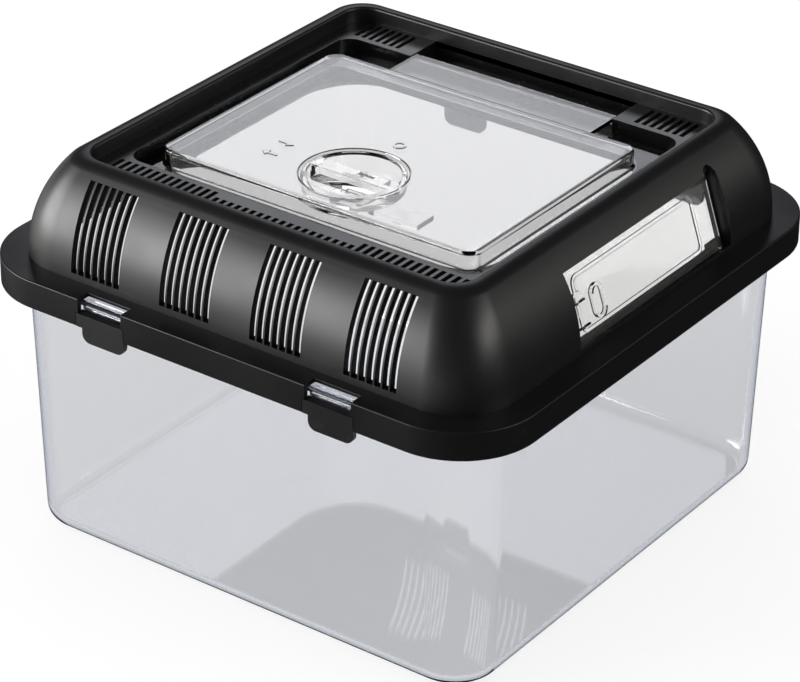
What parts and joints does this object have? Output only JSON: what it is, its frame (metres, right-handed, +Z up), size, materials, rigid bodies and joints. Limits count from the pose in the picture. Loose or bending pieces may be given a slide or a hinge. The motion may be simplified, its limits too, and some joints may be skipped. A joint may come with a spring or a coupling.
{
  "type": "pet keeper",
  "caption": "Clear square tank for small pets with a lift-off vented black hood, a lockable clear top door, a clear side feeding hatch and snap latches.",
  "frame": {"origin": "middle of the tank's underside", "axes": "+Z up; the vented front with two latches faces -Y; the feeding hatch faces +X"},
  "size_m": [0.205, 0.205, 0.1354],
  "materials": {
    "tank": "gloss",
    "top_door": "gloss",
    "lock_knob": "gloss",
    "lock_cam": "gloss",
    "side_hatch": "gloss",
    "lid": "satin",
    "latch_front_left": "satin",
    "latch_front_right": "satin",
    "latch_back_left": "satin",
    "latch_back_right": "satin"
  },
  "bodies": {
    "tank": {"tank": "tank"},
    "lid": {"lid": "lid"},
    "top_door": {"top_door": "top_door"},
    "lock": {"lock_knob": "lock_knob", "lock_cam": "lock_cam"},
    "side_hatch": {"side_hatch": "side_hatch"},
    "latch_front_left": {"latch_front_left": "latch_front_left"},
    "latch_front_right": {"latch_front_right": "latch_front_right"},
    "latch_back_left": {"latch_back_left": "latch_back_left"},
    "latch_back_right": {"latch_back_right": "latch_back_right"}
  },
  "joints": [
    {"name": "lid_lift", "type": "slide", "parent": "tank", "child": "lid", "axis": [0, 0, 1], "range_m": [0, 0.12]},
    {"name": "top_door_hinge", "type": "hinge", "parent": "lid", "child": "top_door", "pos_m": [0, 0.0625, 0.1282], "axis": [-1, 0, 0], "range_deg": [0, 110]},
    {"name": "knob_turn", "type": "hinge", "parent": "top_door", "child": "lock", "pos_m": [-0.0005, -0.0277, 0.132], "axis": [0, 0, -1], "range_deg": [0, 90]},
    {"name": "side_hatch_hinge", "type": "hinge", "parent": "lid", "child": "side_hatch", "pos_m": [0.09134, 0.049, 0.10204], "axis": [-0.3206, 0, 0.9472], "range_deg": [0, 100]},
    {"name": "latch_front_left_pull", "type": "slide", "parent": "lid", "child": "latch_front_left", "axis": [0, -1, 0], "range_m": [0, 0.0022], "stiffness_N_per_m": 400},
    {"name": "latch_front_right_pull", "type": "slide", "parent": "lid", "child": "latch_front_right", "axis": [0, -1, 0], "range_m": [0, 0.0022], "stiffness_N_per_m": 400},
    {"name": "latch_back_left_pull", "type": "slide", "parent": "lid", "child": "latch_back_left", "axis": [0, 1, 0], "range_m": [0, 0.0022], "stiffness_N_per_m": 400},
    {"name": "latch_back_right_pull", "type": "slide", "parent": "lid", "child": "latch_back_right", "axis": [0, 1, 0], "range_m": [0, 0.0022], "stiffness_N_per_m": 400}
  ]
}
